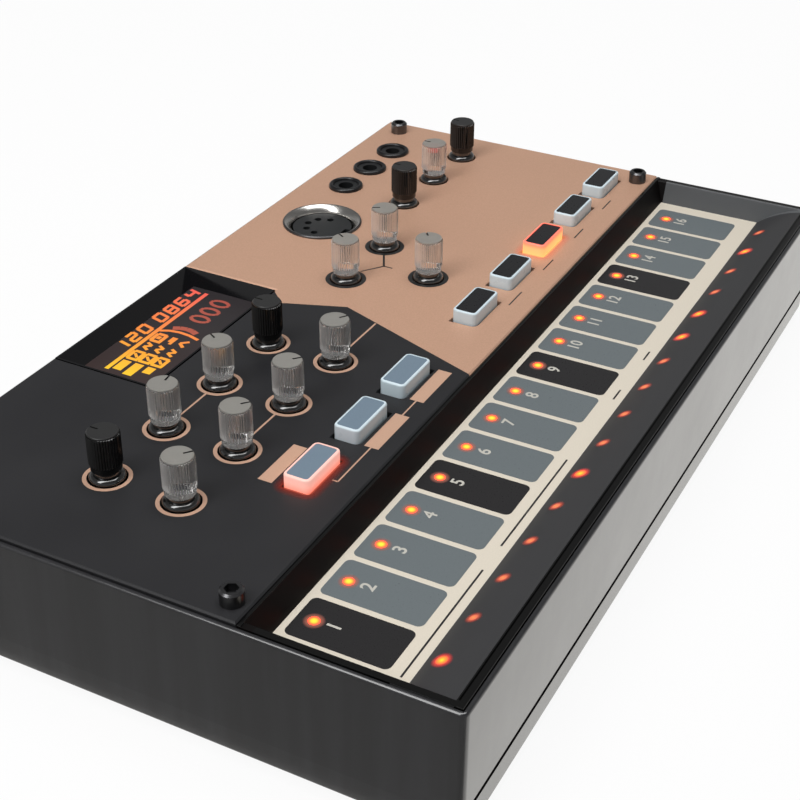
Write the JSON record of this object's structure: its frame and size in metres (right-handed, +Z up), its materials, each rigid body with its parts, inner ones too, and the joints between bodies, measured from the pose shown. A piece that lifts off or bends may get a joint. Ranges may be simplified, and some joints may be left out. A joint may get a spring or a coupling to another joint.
{
  "type": "drum machine",
  "caption": "Compact desktop drum machine: moulded case, sunk display, slim ribbed knobs, push buttons, flat touch keys in a sloped trough, sockets on top and a battery bay below.",
  "frame": {"origin": "centre of the base outline, on the surface that the feet stand on", "axes": "+X to the player's right along the length, +Y to the rear, away from the touch keys, +Z up out of the control panel"},
  "size_m": [0.193, 0.115, 0.039],
  "materials": {
    "case_black": "moulded, satin gloss",
    "panel_paint": "satin black, with a copper printed zone",
    "trim_gloss": "glossy",
    "board_cream": "satin print",
    "lamp_orange": "lit",
    "window_glass": "clear",
    "display_glow": "lit",
    "circuit_board": "lacquered",
    "part_steel": "plain",
    "part_black": "moulded",
    "socket_black": "moulded",
    "socket_chrome": "bright",
    "ring_black": "glossy",
    "contact_steel": "plated",
    "screw_black": "blackened",
    "rubber_foot": "matt",
    "knob_clear": "clear, frosted top",
    "knob_black": "glossy",
    "collar_black": "glossy",
    "button_milky": "milky, satin",
    "power_cap": "satin"
  },
  "bodies": {
    "case": {"top_case": "case_black", "bottom_case": "case_black", "rubber_feet": "rubber_foot", "faceplate": "panel_paint", "faceplate_screws": "screw_black", "case_screws": "screw_black", "touch_board": "board_cream", "touch_lamps": "lamp_orange", "touch_surround": "trim_gloss", "main_board": "circuit_board", "control_bodies": "part_steel", "switch_bodies": "part_black", "display_surround": "trim_gloss", "display_window": "window_glass", "display_module": "display_glow", "din_shell": "socket_chrome", "din_insert": "socket_black", "jack_sockets": "part_black", "jack_rings": "ring_black", "power_inlet": "part_black", "battery_contacts": "contact_steel", "speaker": "part_black"},
    "knob_pitch": {"knob_pitch": "knob_clear", "collar_pitch": "collar_black"},
    "knob_attack": {"knob_attack": "knob_clear", "collar_attack": "collar_black"},
    "knob_release": {"knob_release": "knob_clear", "collar_release": "collar_black"},
    "knob_send": {"knob_send": "knob_clear", "collar_send": "collar_black"},
    "knob_part": {"knob_part": "knob_black", "collar_part": "collar_black"},
    "knob_amount": {"knob_amount": "knob_clear", "collar_amount": "collar_black"},
    "knob_rate": {"knob_rate": "knob_clear", "collar_rate": "collar_black"},
    "knob_select": {"knob_select": "knob_black", "collar_select": "collar_black"},
    "knob_decay": {"knob_decay": "knob_clear", "collar_decay": "collar_black"},
    "knob_body": {"knob_body": "knob_clear", "collar_body": "collar_black"},
    "knob_tune": {"knob_tune": "knob_clear", "collar_tune": "collar_black"},
    "knob_tempo": {"knob_tempo": "knob_black", "collar_tempo": "collar_black"},
    "knob_swing": {"knob_swing": "knob_clear", "collar_swing": "collar_black"},
    "knob_volume": {"knob_volume": "knob_black", "collar_volume": "collar_black"},
    "button_edit": {"button_edit": "button_milky"},
    "button_step": {"button_step": "button_milky"},
    "button_layer": {"button_layer": "button_milky"},
    "button_jump": {"button_jump": "button_milky"},
    "button_mute": {"button_mute": "button_milky"},
    "button_repeat": {"button_repeat": "button_milky"},
    "button_play": {"button_play": "button_milky"},
    "button_record": {"button_record": "button_milky"},
    "power_button": {"power_button": "power_cap"},
    "battery_lid": {"battery_lid": "case_black"}
  },
  "joints": [
    {"name": "pitch_turn", "type": "hinge", "parent": "case", "child": "knob_pitch", "pos_m": [-0.0733, 0.00722, 0.0294], "axis": [0, 0, 1], "range_deg": [-22, 278]},
    {"name": "attack_turn", "type": "hinge", "parent": "case", "child": "knob_attack", "pos_m": [-0.0557, 0.00722, 0.0294], "axis": [0, 0, 1], "range_deg": [-20, 280]},
    {"name": "release_turn", "type": "hinge", "parent": "case", "child": "knob_release", "pos_m": [-0.0381, 0.00722, 0.0294], "axis": [0, 0, 1], "range_deg": [-18, 282]},
    {"name": "send_turn", "type": "hinge", "parent": "case", "child": "knob_send", "pos_m": [-0.0205, 0.00722, 0.0294], "axis": [0, 0, 1], "range_deg": [-27, 273]},
    {"name": "part_turn", "type": "hinge", "parent": "case", "child": "knob_part", "pos_m": [-0.0733, 0.02265, 0.0294], "axis": [0, 0, 1], "range_deg": [-150, 150]},
    {"name": "amount_turn", "type": "hinge", "parent": "case", "child": "knob_amount", "pos_m": [-0.0557, 0.02265, 0.0294], "axis": [0, 0, 1], "range_deg": [-68, 232]},
    {"name": "rate_turn", "type": "hinge", "parent": "case", "child": "knob_rate", "pos_m": [-0.0381, 0.02265, 0.0294], "axis": [0, 0, 1], "range_deg": [-120, 180]},
    {"name": "select_turn", "type": "hinge", "parent": "case", "child": "knob_select", "pos_m": [-0.0205, 0.02265, 0.0294], "axis": [0, 0, 1], "range_deg": [-150, 150]},
    {"name": "decay_turn", "type": "hinge", "parent": "case", "child": "knob_decay", "pos_m": [0.011, 0.02265, 0.0294], "axis": [0, 0, 1], "range_deg": [-120, 180]},
    {"name": "body_turn", "type": "hinge", "parent": "case", "child": "knob_body", "pos_m": [0.02875, 0.02265, 0.0294], "axis": [0, 0, 1], "range_deg": [-180, 120]},
    {"name": "tune_turn", "type": "hinge", "parent": "case", "child": "knob_tune", "pos_m": [0.01988, 0.00722, 0.0294], "axis": [0, 0, 1], "range_deg": [-100, 200]},
    {"name": "tempo_turn", "type": "hinge", "parent": "case", "child": "knob_tempo", "pos_m": [0.0513, 0.0295, 0.0294], "axis": [0, 0, 1], "range_deg": [-150, 150]},
    {"name": "swing_turn", "type": "hinge", "parent": "case", "child": "knob_swing", "pos_m": [0.06705, 0.0295, 0.0294], "axis": [0, 0, 1], "range_deg": [-150, 150]},
    {"name": "volume_turn", "type": "hinge", "parent": "case", "child": "knob_volume", "pos_m": [0.0828, 0.0295, 0.0294], "axis": [0, 0, 1], "range_deg": [-150, 150]},
    {"name": "edit_press", "type": "slide", "parent": "case", "child": "button_edit", "axis": [0, 0, -1], "range_m": [0, 0.0006], "stiffness_N_per_m": 1500},
    {"name": "step_press", "type": "slide", "parent": "case", "child": "button_step", "axis": [0, 0, -1], "range_m": [0, 0.0006], "stiffness_N_per_m": 1500},
    {"name": "layer_press", "type": "slide", "parent": "case", "child": "button_layer", "axis": [0, 0, -1], "range_m": [0, 0.0006], "stiffness_N_per_m": 1500},
    {"name": "jump_press", "type": "slide", "parent": "case", "child": "button_jump", "axis": [0, 0, -1], "range_m": [0, 0.0006], "stiffness_N_per_m": 1500},
    {"name": "mute_press", "type": "slide", "parent": "case", "child": "button_mute", "axis": [0, 0, -1], "range_m": [0, 0.0006], "stiffness_N_per_m": 1500},
    {"name": "repeat_press", "type": "slide", "parent": "case", "child": "button_repeat", "axis": [0, 0, -1], "range_m": [0, 0.0006], "stiffness_N_per_m": 1500},
    {"name": "play_press", "type": "slide", "parent": "case", "child": "button_play", "axis": [0, 0, -1], "range_m": [0, 0.0006], "stiffness_N_per_m": 1500},
    {"name": "record_press", "type": "slide", "parent": "case", "child": "button_record", "axis": [0, 0, -1], "range_m": [0, 0.0006], "stiffness_N_per_m": 1500},
    {"name": "power_press", "type": "slide", "parent": "case", "child": "power_button", "axis": [0, -1, 0], "range_m": [0, 0.0012], "stiffness_N_per_m": 1000},
    {"name": "lid_slide", "type": "slide", "parent": "case", "child": "battery_lid", "axis": [0, 1, 0], "range_m": [0, 0.05]}
  ]
}
